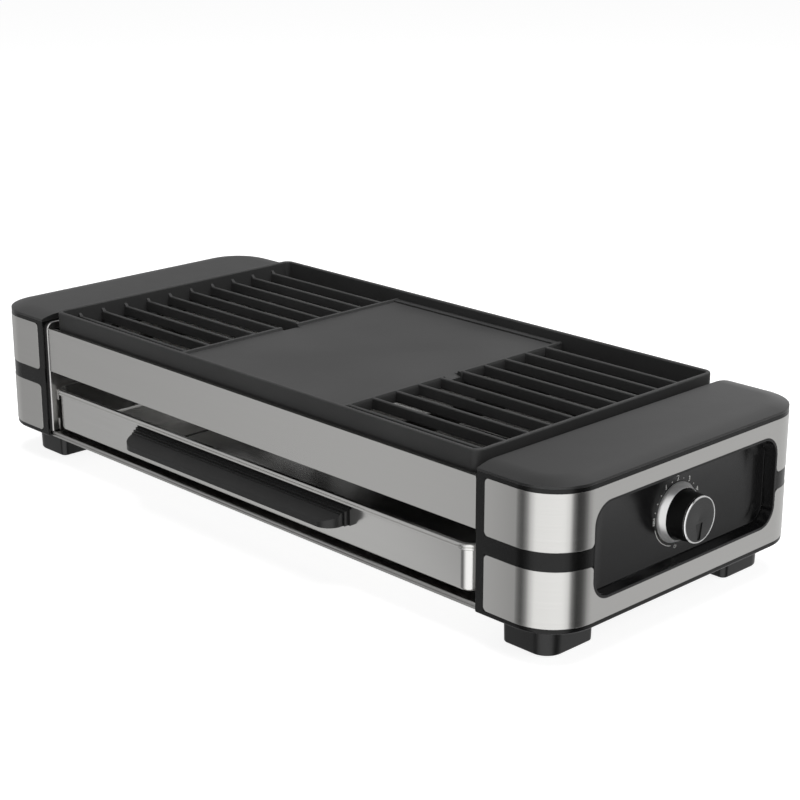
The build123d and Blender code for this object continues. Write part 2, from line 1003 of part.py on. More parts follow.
# Plate ledges: angles on the side sheets that carry the grill plate
with BuildPart() as plate_ledge_right:
    slab(
        side_inner - ledge_reach,
        side_inner,
        -ledge_length / 2,
        ledge_length / 2,
        ledge_top - side_sheet,
        ledge_top,
    )
    slab(
        side_inner - side_sheet,
        side_inner,
        -ledge_length / 2,
        ledge_length / 2,
        ledge_top,
        ledge_top + ledge_leg,
    )
    for depth, height in element_ends:
        slab(
            side_inner - ledge_notch,
            side_inner,
            depth - ledge_notch,
            depth + ledge_notch,
            ledge_top - side_sheet,
            ledge_top + ledge_leg,
            Mode.SUBTRACT,
        )
finished["plate_ledge_right"] = plate_ledge_right
finished["plate_ledge_left"] = other_end(plate_ledge_right)

# Tray rails: angles that the drip tray's rim slides on
with BuildPart() as tray_rail_right:
    slab(
        side_inner - rail_reach, side_inner, -rail_front, rail_back - sheet, rail_top - rail_sheet, rail_top
    )
    slab(
        side_inner - rail_sheet,
        side_inner,
        -rail_front,
        rail_back - sheet,
        rail_top - rail_leg,
        rail_top - rail_sheet,
    )
finished["tray_rail_right"] = tray_rail_right
finished["tray_rail_left"] = other_end(tray_rail_right)

# Heating element: one round tube in four runs under the plate, both ends in the right housing
element_tip = housing_inner + element_end
with BuildPart() as heating_element:
    with BuildLine():
        path = FilletPolyline(
            (element_tip - row_x, element_rows[0] - row_y, element_height),
            (-element_reach - row_x, element_rows[0] - row_y, element_height),
            (-element_reach - row_x, element_rows[1] - row_y, element_height),
            (element_reach - row_x, element_rows[1] - row_y, element_height),
            (element_reach - row_x, element_rows[2] - row_y, element_height),
            (-element_reach - row_x, element_rows[2] - row_y, element_height),
            (-element_reach - row_x, element_rows[3] - row_y, element_height),
            (element_tip - row_x, element_rows[3] - row_y, element_height),
            radius=element_bend,
        )
    with BuildSketch(Plane(path @ 0, z_dir=path % 0)):
        Circle(element_radius)
    sweep()
finished["heating_element"] = heating_element

with BuildPart() as element_terminals:
    end_pins(element_ends, terminal_radius, element_tip, terminal_length)
finished["element_terminals"] = element_terminals

with BuildPart() as element_bushes:
    end_pins(element_ends, bush_radius, side_inner, bush_length)
    end_pins(element_ends, bush_collar, side_inner - bush_collar_height, bush_collar_height)
    end_pins(
        element_ends,
        element_radius + bush_fit,
        side_inner - bush_collar_height,
        bush_length + bush_collar_height,
        Mode.SUBTRACT,
    )
finished["element_bushes"] = element_bushes


# Element carriers: notched strips from front panel to back panel that the tube lies in
def carrier(place):
    with BuildPart() as strip:
        span = 2 * (chassis_front - sheet)
        with BuildSketch(facing_end(place - carrier_sheet / 2)):
            with Locations((0, element_height - carrier_height / 2)):
                Rectangle(span, carrier_height)
            with Locations(*[(row, element_height) for row in element_rows]):
                Circle(element_radius + screw_fit, mode=Mode.SUBTRACT)
        extrude(amount=carrier_sheet)
    return strip


finished["element_carrier_right"] = carrier(carrier_place)
finished["element_carrier_left"] = carrier(-carrier_place)

# Mains side: gland, clamp, terminal block, thermal fuse and the leads between them
with BuildPart() as cord_gland:
    for start, length, radius in (
        (half_depth, gland_proud, gland_flange_radius),
        (half_depth - band_proud - housing_wall, housing_wall + band_proud, gland_neck_radius),
        (
            half_depth - band_proud - housing_wall - gland_inner_length,
            gland_inner_length,
            gland_inner_radius,
        ),
    ):
        with BuildSketch(facing_front(start)):
            with Locations((gland_x, gland_height)):
                Circle(radius)
        extrude(amount=-length)
    fillet(edges().group_by(Axis.Y)[-1], gland_round)
    with BuildSketch(facing_front(half_depth + gland_proud)):
        with Locations((gland_x, gland_height)):
            Circle(gland_bore)
    extrude(amount=3 * gland_flange_radius, mode=Mode.SUBTRACT)
finished["cord_gland"] = cord_gland

with BuildPart() as cord_clamp:
    slab(
        gland_x - clamp_width / 2,
        gland_x + clamp_width / 2,
        clamp_place - clamp_length / 2,
        clamp_place + clamp_length / 2,
        base_top,
        gland_height + clamp_over,
    )
    with BuildSketch(facing_front(clamp_place + clamp_length / 2)):
        with Locations((gland_x, gland_height)):
            Circle(gland_bore)
    extrude(amount=clamp_length, mode=Mode.SUBTRACT)
finished["cord_clamp"] = cord_clamp

lead_x = housing_inner + wire_place
block_top = base_top + block_height
with BuildPart() as terminal_block:
    slab(
        lead_x - block_width / 2,
        lead_x + block_width / 2,
        block_place - block_length / 2,
        block_place + block_length / 2,
        base_top,
        block_top,
    )
    fillet(edges().filter_by(Axis.Z), block_round)
finished["terminal_block"] = terminal_block

fuse_top = element_height - terminal_radius - fuse_drop
fuse_bottom = fuse_top - fuse_length
with BuildPart() as thermal_fuse:
    upright_pins([(lead_x, element_rows[3])], fuse_radius, fuse_bottom, fuse_length)
    fillet(edges(), fuse_round)
finished["thermal_fuse"] = thermal_fuse


def lead(points):
    """A lead along straight runs with rounded corners, at the leads' reach."""
    places = [(lead_x - row_x, depth - row_y, height) for depth, height in points]
    with BuildLine() as run:
        route = FilletPolyline(*places, radius=wire_bend)
    with BuildSketch(Plane(route @ 0, z_dir=route % 0)) as core:
        Circle(wire_radius)
    sweep(core.sketch, path=run.line)


lead_down = fuse_bottom - 3 * wire_bend
with BuildPart() as leads:
    lead(
        [
            (-tab_spread, tab_top),
            (-tab_spread, wire_rise),
            (element_rows[0], wire_rise),
            (element_rows[0], element_height + terminal_radius),
        ]
    )
    lead(
        [
            (tab_spread, tab_top),
            (tab_spread, wire_rise),
            (block_place - block_length / 4, wire_rise),
            (block_place - block_length / 4, block_top),
        ]
    )
    lead(
        [
            (element_rows[3], fuse_bottom),
            (element_rows[3], lead_down),
            (block_place + block_length / 4, lead_down),
            (block_place + block_length / 4, block_top),
        ]
    )
    upright_pins([(lead_x, element_rows[3])], wire_radius, fuse_top, fuse_drop)
finished["internal_leads"] = leads

# Drip tray: a pressed steel drawer with a double-beaded rim
tray_half_depth = (tray_front + tray_back) / 2
tray_centre = (0, (tray_back - tray_front) / 2)


def tray_outline(grow):
    with Locations(tray_centre):
        RectangleRounded(
            2 * (tray_half + grow), 2 * (tray_half_depth + grow), tray_corner + grow
        )


with BuildPart() as tray:
    with BuildSketch(level(tray_bottom)):
        tray_outline(0)
    extrude(amount=tray_top - tray_bottom)
    fillet(faces().sort_by(Axis.Z)[0].edges(), tray_foot_round)
    for step in range(2):
        bead_low = tray_rim_under + step * tray_bead
        with BuildSketch(level(bead_low)):
            tray_outline(tray_rim_reach - tray_bead_round)
        with BuildSketch(level(bead_low + tray_bead_round)):
            tray_outline(tray_rim_reach)
        with BuildSketch(level(bead_low + tray_bead)):
            tray_outline(tray_rim_reach - tray_bead_round)
        loft()
    with BuildSketch(level(tray_bottom + tray_sheet)):
        tray_outline(-tray_sheet)
    extrude(amount=tray_top - tray_bottom, mode=Mode.SUBTRACT)
    fillet(
        edges().filter_by_position(
            Axis.Z, tray_bottom + tray_sheet - 0.1, tray_bottom + tray_sheet + 0.1
        ),
        tray_foot_round - tray_sheet,
    )
    with BuildSketch(facing_end(-tray_rib_place - tray_rib_width / 2)):
        with BuildLine():
            rib_back = (tray_back - 2 * tray_foot_round, tray_bottom + tray_sheet)
            rib_front = (2 * tray_foot_round - tray_front, tray_bottom + tray_sheet)
            Line(rib_front, rib_back)
            Polyline(
                rib_back,
                (rib_back[0] - tray_rib_run, rib_back[1] + tray_rib_height),
                (rib_front[0] + tray_rib_run, rib_front[1] + tray_rib_height),
                rib_front,
            )
        make_face()
    extrude(amount=tray_rib_width)
    with BuildSketch(facing_front(-tray_front)):
        with Locations(*handle_holes):
            Circle(handle_screw_radius + screw_fit)
    extrude(amount=-2 * tray_sheet, mode=Mode.SUBTRACT)
finished["tray"] = tray

# Tray handle: a wide moulded lip on a flange with stepped lines above it
handle_back = -tray_front
step_front = handle_back - handle_step_start
lip_back = step_front - handle_steps * handle_step_run
lip_top = handle_bottom + handle_lip
lip_root = lip_top + handle_lip_rise
tab_front = handle_back - handle_tab_depth
shoulder = handle_back - handle_shoulder_depth
with BuildPart() as tray_handle:
    with BuildSketch(facing_end(-handle_half)):
        with BuildLine():
            outline = [(handle_back, handle_bottom), (handle_back, handle_top)]
            for step in range(handle_steps):
                edge = step_front - step * handle_step_run
                outline.append((edge, handle_top - step * handle_step_rise))
                outline.append((edge, handle_top - (step + 1) * handle_step_rise))
            outline += [
                (lip_back, lip_root),
                (-handle_front + handle_lip_edge, lip_top),
                (-handle_front, lip_top - handle_lip_edge),
                (-handle_front, handle_bottom),
            ]
            Polyline(*outline, close=True)
        make_face()
    extrude(amount=2 * handle_half)
    with BuildSketch(level(handle_bottom)):
        with BuildLine():
            Polyline(
                (-handle_half, handle_back),
                (handle_half, handle_back),
                (handle_half, tab_front),
                (handle_half - handle_tab, tab_front),
                (handle_half - handle_tab, shoulder),
                (handle_lip_half, shoulder),
                (handle_lip_half, -handle_front),
                (-handle_lip_half, -handle_front),
                (-handle_lip_half, shoulder),
                (handle_tab - handle_half, shoulder),
                (handle_tab - handle_half, tab_front),
                (-handle_half, tab_front),
                close=True,
            )
        make_face()
        fillet(vertices().group_by(Axis.Y)[0], handle_lip_corner)
    extrude(amount=handle_top - handle_bottom, mode=Mode.INTERSECT)
    slab(
        -handle_lip_half + handle_lip_corner,
        handle_lip_half - handle_lip_corner,
        -handle_front + handle_grip_wall,
        shoulder - handle_grip_wall,
        handle_bottom,
        handle_bottom + handle_grip_depth,
        Mode.SUBTRACT,
    )
    with BuildSketch(facing_front(-tray_front)):
        with Locations(*handle_holes):
            Circle(handle_screw_radius + screw_fit)
    extrude(amount=handle_screw_depth + 1, mode=Mode.SUBTRACT)
finished["tray_handle"] = tray_handle

with BuildPart() as handle_screws:
    with BuildSketch(facing_front(tray_sheet - tray_front)):
        with Locations(*handle_holes):
            Circle(handle_screw_radius)
    extrude(amount=tray_sheet + handle_screw_depth)
    with BuildSketch(facing_front(tray_sheet - tray_front)):
        with Locations(*handle_holes):
            Circle(handle_screw_head)
    extrude(amount=-handle_screw_head_height)
finished["handle_screws"] = handle_screws


# Grill plate: a cast frame with a smooth griddle in the middle and open fins at both ends
def plate_outline(inset):
    Rectangle(2 * (plate_half - inset), 2 * (plate_half_depth - inset))
    fillet(vertices(), plate_corner - inset)


with BuildPart() as grill_plate:
    with BuildSketch(level(plate_bottom)):
        plate_outline(0)
    extrude(amount=plate_top - plate_bottom)
    with BuildSketch(level(plate_bottom)):
        plate_outline(plate_wall)
    extrude(amount=plate_top - plate_bottom, mode=Mode.SUBTRACT)
    fillet(faces().sort_by(Axis.Z)[-1].edges(), plate_rim_round)
    inside = plate_inner_depth + plate_wall / 2
    slab(-ridge_outer, ridge_outer, -inside, inside, fin_bottom, griddle_top)
    for side in (-1, 1):
        limits = sorted((side * plate_inner_depth, side * (plate_inner_depth - ledge_width)))
        slab(-ridge_outer, ridge_outer, *limits, griddle_top, griddle_top + ledge_height)
        with BuildSketch(level(griddle_top)):
            with Locations((side * (ridge_outer - ridge_width / 2), 0)):
                Rectangle(ridge_width, 2 * inside)
        extrude(amount=fin_top - griddle_top, taper=ridge_slope)
        with BuildSketch(facing_front(drain_width / 2)):
            with BuildLine():
                Polyline(
                    (side * (ridge_outer - ridge_width - drain_run), griddle_top),
                    (side * (ridge_outer - ridge_width - drain_run), plate_top),
                    (side * (ridge_outer + 1), plate_top),
                    (side * (ridge_outer + 1), griddle_top - drain_drop),
                    close=True,
                )
            make_face()
        extrude(amount=drain_width, mode=Mode.SUBTRACT)
        fin_start = ridge_outer - ridge_width / 2
        fin_length = plate_inner + plate_wall / 2 - fin_start
        start = fin_start if side > 0 else -fin_start - fin_length
        with BuildSketch(facing_end(start)):
            with Locations(*[(row, fin_bottom + fin_height / 2) for row in fin_rows]):
                Trapezoid(fin_width, fin_height, fin_side_angle)
            fillet(vertices().group_by(Axis.Z)[-1], fin_round)
        extrude(amount=fin_length)
        for row in fin_rows:
            with BuildSketch(facing_front(row + fin_flare_width / 2)):
                with BuildLine():
                    Polyline(
                        (side * (plate_inner - fin_flare), fin_top - fin_round),
                        (side * (plate_inner + 1), fin_top - fin_round),
                        (side * (plate_inner + 1), fin_top + fin_flare_rise),
                        (side * plate_inner, fin_top + fin_flare_rise),
                        close=True,
                    )
                make_face()
            extrude(amount=fin_flare_width)
finished["grill_plate"] = grill_plate

for name, piece in finished.items():
    piece.part.label = name
    export_step(piece.part, f"parts/{name}.step")
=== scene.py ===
import math

import bpy
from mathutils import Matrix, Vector


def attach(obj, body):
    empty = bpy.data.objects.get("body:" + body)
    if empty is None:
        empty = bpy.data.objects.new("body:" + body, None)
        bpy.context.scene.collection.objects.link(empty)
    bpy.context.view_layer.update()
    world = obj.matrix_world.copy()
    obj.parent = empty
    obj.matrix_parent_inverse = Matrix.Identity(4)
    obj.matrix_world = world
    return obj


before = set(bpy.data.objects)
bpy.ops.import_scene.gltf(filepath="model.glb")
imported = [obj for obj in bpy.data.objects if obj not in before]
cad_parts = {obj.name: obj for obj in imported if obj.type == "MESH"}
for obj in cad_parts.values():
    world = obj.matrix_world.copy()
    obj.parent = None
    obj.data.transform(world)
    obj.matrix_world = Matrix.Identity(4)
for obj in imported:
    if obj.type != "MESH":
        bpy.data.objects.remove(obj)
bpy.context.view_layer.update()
scene = bpy.context.scene

# Camera, in metres
camera_place = (0.9458, -0.8813, 0.4998)
camera_target = (0.0305, 0.0060, 0.0861)
camera_lens = 84.33
camera_sensor = 36

# Smoothing of the CAD nodes
merge_distance = 0.000002
smooth_angle = math.radians(32)
edge_softness = 0.0004
edge_samples = 6

# Share of a noise's range that moves a material's tone and roughness
noise_low = 0.3
noise_high = 0.7

# Dial printed on the control panel; angles run clockwise from straight down
dial_centre = (0.0060, 0.0703)
dial_floor = 0.2795
mark_thickness = 0.00012
mark_radius = 0.0221
digit_radius = 0.0226
digit_height = 0.0036
word_height = 0.0021
letter_scale = 1.35
dot_radius = 0.00042
dot_sides = 20
line_width = 0.0004
arc_from = 11.6
arc_to = 72.4
word_angle = 88
dot_angles = (103, 118, 133, 165, 195.5, 227, 257)
digit_angles = {"1": 149, "2": 180, "3": 211, "4": 242.5, "5": 273}
off_radius = 0.0011
off_gap = 40
off_drop = 0.001
off_steps = 16
off_bar_reach = (0.2, 0.7, 1.25)
arc_steps = 24

# Pointer on the knob's face: a dark wedge on the floor of the pocket that the insert has for
# it, painted shade for that pocket
pointer_floor = 0.2966
pointer_rise = 0.00025
pointer_start = 0.0029
pointer_end = 0.0135
pointer_wide = 0.0035
pointer_narrow = 0.0014
pointer_top_share = 0.9


def new_material(name, color, metallic=0.0, roughness=0.5):
    surface = bpy.data.materials.new(name)
    surface.use_nodes = True
    shader = surface.node_tree.nodes["Principled BSDF"]
    shader.inputs["Base Color"].default_value = (*color, 1)
    shader.inputs["Metallic"].default_value = metallic
    shader.inputs["Roughness"].default_value = roughness
    return surface


def node(surface, kind, **settings):
    made = surface.node_tree.nodes.new(kind)
    for name, value in settings.items():
        setattr(made, name, value)
    return made


def noise(surface, scale, detail=3.0, roughness=0.5):
    """Noise in the object's own metres, with its own scale along x, y and z."""
    links = surface.node_tree.links
    place = node(surface, "ShaderNodeTexCoord")
    stretch = node(surface, "ShaderNodeMapping")
    stretch.inputs["Scale"].default_value = scale
    cloud = node(surface, "ShaderNodeTexNoise")
    cloud.inputs["Scale"].default_value = 1.0
    cloud.inputs["Detail"].default_value = detail
    cloud.inputs["Roughness"].default_value = roughness
    links.new(place.outputs["Object"], stretch.inputs["Vector"])
    links.new(stretch.outputs["Vector"], cloud.inputs["Vector"])
    return cloud.outputs["Fac"]


def vary(surface, source, socket, low, high):
    """Lets a texture move one of the shader's numbers between two values."""
    spread = node(surface, "ShaderNodeMapRange")
    spread.inputs["From Min"].default_value = noise_low
    spread.inputs["From Max"].default_value = noise_high
    spread.inputs["To Min"].default_value = low
    spread.inputs["To Max"].default_value = high
    surface.node_tree.links.new(source, spread.inputs["Value"])
    shader = surface.node_tree.nodes["Principled BSDF"]
    surface.node_tree.links.new(spread.outputs["Result"], shader.inputs[socket])


def tint(surface, source, dark, light):
    """Lets a texture move the colour between two close tones."""
    ramp = node(surface, "ShaderNodeValToRGB")
    ramp.color_ramp.elements[0].position = noise_low
    ramp.color_ramp.elements[0].color = (*dark, 1)
    ramp.color_ramp.elements[1].position = noise_high
    ramp.color_ramp.elements[1].color = (*light, 1)
    surface.node_tree.links.new(source, ramp.inputs["Fac"])
    shader = surface.node_tree.nodes["Principled BSDF"]
    surface.node_tree.links.new(ramp.outputs["Color"], shader.inputs["Base Color"])


def relief(surface, layers, softness=edge_softness):
    """Bump from one or more textures, on edges that look slightly rounded if soft."""
    links = surface.node_tree.links
    normal = None
    if softness:
        edge = node(surface, "ShaderNodeBevel", samples=edge_samples)
        edge.inputs["Radius"].default_value = softness
        normal = edge.outputs["Normal"]
    for source, depth, strength in layers:
        rise = node(surface, "ShaderNodeBump")
        rise.inputs["Strength"].default_value = strength
        rise.inputs["Distance"].default_value = depth
        links.new(source, rise.inputs["Height"])
        if normal:
            links.new(normal, rise.inputs["Normal"])
        normal = rise.outputs["Normal"]
    shader = surface.node_tree.nodes["Principled BSDF"]
    links.new(normal, shader.inputs["Normal"])


def gloss_plastic(name, color, roughness, sheen=0.5):
    surface = new_material(name, color, roughness=roughness)
    shader = surface.node_tree.nodes["Principled BSDF"]
    shader.inputs["Specular IOR Level"].default_value = sheen
    ripple = noise(surface, (30, 30, 30), detail=1)
    smears = noise(surface, (70, 70, 70), detail=4)
    vary(surface, smears, "Roughness", roughness * 0.97, roughness * 1.04)
    relief(surface, [(ripple, 0.00003, 0.03)])
    return surface


def moulded_plastic(name, color, roughness, softness=0.0002):
    surface = new_material(name, color, roughness=roughness)
    grain = noise(surface, (1500, 1500, 1500), detail=3)
    cloudy = noise(surface, (35, 35, 35), detail=3)
    tint(surface, cloudy, [part * 0.85 for part in color], [part * 1.2 for part in color])
    vary(surface, grain, "Roughness", roughness * 0.9, roughness * 1.12)
    relief(surface, [(grain, 0.00003, 0.25)], softness)
    return surface


def brushed_steel(name, color, roughness, grain, softness=edge_softness):
    """Steel with a brush grain: scratches long where the scale in grain is small."""
    surface = new_material(name, color, metallic=1.0, roughness=roughness)
    scratches = noise(surface, grain, detail=5, roughness=0.65)
    clouds = noise(surface, (7, 7, 7), detail=2)
    tint(surface, scratches, [part * 0.96 for part in color], [part * 1.03 for part in color])
    vary(surface, scratches, "Roughness", roughness * 0.85, roughness * 1.2)
    relief(surface, [(clouds, 0.0001, 0.04), (scratches, 0.00001, 0.12)], softness)
    return surface


def sheet_steel(name, color, roughness, softness=0):
    surface = new_material(name, color, metallic=1.0, roughness=roughness)
    stains = noise(surface, (22, 22, 22), detail=4)
    grain = noise(surface, (700, 700, 700), detail=3)
    tint(surface, stains, [part * 0.85 for part in color], color)
    vary(surface, stains, "Roughness", roughness * 0.85, roughness * 1.2)
    relief(surface, [(grain, 0.00002, 0.2)], softness)
    return surface


def coated_plate(name, color, roughness):
    """Cast metal under a non-stick coat, with the fine grit that such a coat has."""
    surface = new_material(name, color, roughness=roughness)
    shader = surface.node_tree.nodes["Principled BSDF"]
    shader.inputs["Specular IOR Level"].default_value = 0.3
    grit = noise(surface, (1900, 1900, 1900), detail=4, roughness=0.6)
    cast = noise(surface, (120, 120, 120), detail=3)
    cloudy = noise(surface, (12, 12, 12), detail=3)
    tint(surface, cloudy, [part * 0.88 for part in color], [part * 1.12 for part in color])
    vary(surface, cloudy, "Roughness", roughness * 0.92, roughness * 1.08)
    relief(surface, [(cast, 0.00008, 0.2), (grit, 0.00005, 0.4)], 0.0003)
    return surface


def fired_ceramic(name, color):
    surface = new_material(name, color, roughness=0.55)
    speckle = noise(surface, (400, 400, 400), detail=4)
    tint(surface, speckle, [part * 0.88 for part in color], color)
    relief(surface, [(speckle, 0.00005, 0.4)])
    return surface


def soft_rubber(name, color, roughness):
    surface = new_material(name, color, roughness=roughness)
    grain = noise(surface, (1100, 1100, 1100), detail=4)
    dust = noise(surface, (60, 60, 60), detail=4)
    tint(surface, dust, color, [part * 1.5 for part in color])
    relief(surface, [(grain, 0.00008, 0.6)])
    return surface


def printed_ink(name, color):
    surface = new_material(name, color, roughness=0.5)
    worn = noise(surface, (700, 700, 700), detail=3)
    tint(surface, worn, [part * 0.8 for part in color], color)
    return surface


# Materials
cover_black = gloss_plastic("cover_black", (0.018, 0.018, 0.018), 0.3)
shell_black = gloss_plastic("shell_black", (0.004, 0.004, 0.004), 0.2, 0.3)
panel_black = gloss_plastic("panel_black", (0.004, 0.004, 0.0043), 0.18, 0.38)
knob_black = gloss_plastic("knob_black", (0.005, 0.005, 0.005), 0.3, 0.35)
moulding_black = moulded_plastic("moulding_black", (0.006, 0.006, 0.0063), 0.32)
band_steel = brushed_steel("band_steel", (0.61, 0.605, 0.59), 0.17, (4, 4, 4200))
front_steel = brushed_steel("front_steel", (0.66, 0.655, 0.64), 0.2, (4, 900, 4200), 0)
tray_steel = brushed_steel("tray_steel", (0.75, 0.745, 0.73), 0.2, (4, 900, 3600), 0)
chassis_steel = sheet_steel("chassis_steel", (0.56, 0.555, 0.545), 0.32)
screw_steel = sheet_steel("screw_steel", (0.55, 0.55, 0.54), 0.3)
chrome = new_material("chrome", (0.83, 0.83, 0.83), metallic=1.0, roughness=0.08)
relief(chrome, [(noise(chrome, (350, 350, 350), detail=2), 0.00001, 0.2)])
vary(chrome, noise(chrome, (160, 160, 160), detail=3), "Roughness", 0.06, 0.13)
satin_chrome = new_material("satin_chrome", (0.85, 0.85, 0.845), metallic=0.6, roughness=0.3)
relief(satin_chrome, [(noise(satin_chrome, (120, 120, 120), detail=1), 0.00001, 0.05)])
vary(satin_chrome, noise(satin_chrome, (160, 160, 160), detail=3), "Roughness", 0.28, 0.31)
insert_metal = brushed_steel("insert_metal", (0.09, 0.09, 0.09), 0.3, (2600, 6, 2600), 0.0002)
plate_coat = coated_plate("plate_coat", (0.038, 0.038, 0.038), 0.48)
# near-black wedge in the knob's pointer pocket: painted shade
pointer_painted_shade = gloss_plastic("pointer_painted_shade", (0.004, 0.004, 0.004), 0.3)
handle_black = moulded_plastic("handle_black", (0.007, 0.007, 0.0072), 0.38, 0)
element_dark = sheet_steel("element_dark", (0.035, 0.033, 0.031), 0.7)
# painted shade: the ledges and element carriers under the plate are coloured near black, darker
# than their steel, so the slots between the fins read dark
painted_shade_steel = sheet_steel("painted_shade_steel", (0.05, 0.048, 0.046), 0.6)
ceramic_white = fired_ceramic("ceramic_white", (0.78, 0.76, 0.7))
lead_white = soft_rubber("lead_white", (0.6, 0.6, 0.57), 0.5)
rubber_black = soft_rubber("rubber_black", (0.02, 0.02, 0.02), 0.75)
ink = printed_ink("ink", (0.75, 0.75, 0.73))

# Which node shows which material
finishes = {
    cover_black: ["top_cover_right", "top_cover_left"],
    shell_black: ["housing_right", "housing_left"],
    panel_black: ["control_panel"],
    knob_black: ["knob_body"],
    insert_metal: ["knob_insert"],
    chrome: ["knob_trim"],
    satin_chrome: ["dial_ring"],
    band_steel: ["band_upper_right", "band_lower_right", "band_upper_left", "band_lower_left"],
    front_steel: ["front_panel", "back_panel"],
    tray_steel: ["tray"],
    chassis_steel: [
        "side_sheet_right",
        "side_sheet_left",
        "chassis_floor",
        "tray_rail_right",
        "tray_rail_left",
        "thermostat_bracket",
    ],
    # ledges and element carriers under the plate: near-black painted shade
    painted_shade_steel: [
        "plate_ledge_right",
        "plate_ledge_left",
        "element_carrier_right",
        "element_carrier_left",
    ],
    screw_steel: [
        "foot_screws",
        "base_screws",
        "chassis_screws",
        "handle_screws",
        "panel_rivets",
        "thermostat_screws",
        "thermostat_spindle",
        "knob_clip",
        "element_terminals",
    ],
    plate_coat: ["grill_plate"],
    element_dark: ["heating_element"],
    ceramic_white: ["element_bushes", "terminal_block", "thermal_fuse", "thermostat_body"],
    lead_white: ["internal_leads"],
    rubber_black: ["foot_pads", "cord_gland"],
    handle_black: ["tray_handle"],
    moulding_black: [
        "base_plate_right",
        "base_plate_left",
        "cord_clamp",
        "foot_front_right",
        "foot_front_left",
        "foot_back_right",
        "foot_back_left",
    ],
}


def smoothing():
    """A geometry group that joins the facets of a CAD node and shades them as curved."""
    group = bpy.data.node_groups.new("smooth_curves", "GeometryNodeTree")
    group.interface.new_socket("Geometry", in_out="INPUT", socket_type="NodeSocketGeometry")
    group.interface.new_socket("Geometry", in_out="OUTPUT", socket_type="NodeSocketGeometry")
    nodes, links = group.nodes, group.links
    start = nodes.new("NodeGroupInput")
    merge = nodes.new("GeometryNodeMergeByDistance")
    merge.inputs["Distance"].default_value = merge_distance
    clean = nodes.new("GeometryNodeRemoveAttribute")
    clean.inputs["Name"].default_value = "custom_normal"
    round_faces = nodes.new("GeometryNodeSetShadeSmooth")
    round_faces.domain = "FACE"
    angle = nodes.new("GeometryNodeInputMeshEdgeAngle")
    compare = nodes.new("FunctionNodeCompare")
    compare.operation = "LESS_THAN"
    compare.inputs[1].default_value = smooth_angle
    round_edges = nodes.new("GeometryNodeSetShadeSmooth")
    round_edges.domain = "EDGE"
    end = nodes.new("NodeGroupOutput")
    links.new(start.outputs[0], clean.inputs["Geometry"])
    links.new(clean.outputs["Geometry"], merge.inputs["Geometry"])
    links.new(merge.outputs["Geometry"], round_faces.inputs["Geometry"])
    links.new(round_faces.outputs["Geometry"], round_edges.inputs["Geometry"])
    links.new(angle.outputs["Unsigned Angle"], compare.inputs[0])
    links.new(compare.outputs["Result"], round_edges.inputs["Shade Smooth"])
    links.new(round_edges.outputs["Geometry"], end.inputs[0])
    return group


smooth_group = smoothing()
for finish, names in finishes.items():
    for name in names:
        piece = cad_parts[name]
        piece.data.materials.clear()
        piece.data.materials.append(finish)
        modifier = piece.modifiers.new("smooth_curves", "NODES")
        modifier.node_group = smooth_group


def dial_point(angle, radius, rise=0.0):
    """A point on the panel's floor, at an angle clockwise from straight down."""
    turn = math.radians(angle)
    across = dial_centre[0] - radius * math.sin(turn)
    up = dial_centre[1] - radius * math.cos(turn)
    return Vector((dial_floor + rise, across, up))


def mesh_piece(name, points, faces, material, body="base"):
    data = bpy.data.meshes.new(name)
    data.from_pydata(points, [], faces)
    data.materials.append(material)
    piece = bpy.data.objects.new(name, data)
    scene.collection.objects.link(piece)
    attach(piece, body)


def ribbon(name, path, width, material):
    """A thin printed line along points on the panel's floor."""
    outward = Vector((1, 0, 0))
    last = len(path) - 1
    points = []
    for place in range(len(path)):
        before = path[max(place - 1, 0)]
        after = path[min(place + 1, last)]
        side = (after - before).cross(outward).normalized() * width / 2
        for offset, rise in ((-1, 0), (-1, 1), (1, 1), (1, 0)):
            points.append(path[place] + side * offset + outward * rise * mark_thickness)
    faces = []
    for place in range(last):
        here = 4 * place
        there = here + 4
        for corner in range(4):
            turn = (corner + 1) % 4
            faces.append((here + corner, here + turn, there + turn, there + corner))
    faces.append((3, 2, 1, 0))
    end = 4 * last
    faces.append((end, end + 1, end + 2, end + 3))
    mesh_piece(name, points, faces, material)


def disc(name, centre, radius, material):
    """A thin printed dot on the panel's floor."""
    points = []
    for rise in (0, mark_thickness):
        for step in range(dot_sides):
            turn = 2 * math.pi * step / dot_sides
            points.append(
                centre + Vector((rise, radius * math.cos(turn), radius * math.sin(turn)))
            )
    faces = [tuple(range(dot_sides, 2 * dot_sides)), tuple(reversed(range(dot_sides)))]
    for step in range(dot_sides):
        turn = (step + 1) % dot_sides
        faces.append((step, turn, dot_sides + turn, dot_sides + step))
    mesh_piece(name, points, faces, material)


def lettering(name, words, angle, radius, height, lean):
    """Letters that stand on the panel's floor, turned by lean degrees clockwise."""
    curve = bpy.data.curves.new(name, "FONT")
    curve.body = words
    curve.size = height * letter_scale
    curve.align_x = "CENTER"
    curve.align_y = "CENTER"
    curve.extrude = mark_thickness / 2
    curve.materials.append(ink)
    piece = bpy.data.objects.new(name, curve)
    piece.rotation_mode = "XYZ"
    piece.rotation_euler = (math.radians(90), 0, math.radians(90))
    piece.rotation_euler.rotate_axis("Z", -math.radians(lean))
    piece.location = dial_point(angle, radius, mark_thickness / 2)
    scene.collection.objects.link(piece)
    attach(piece, "base")


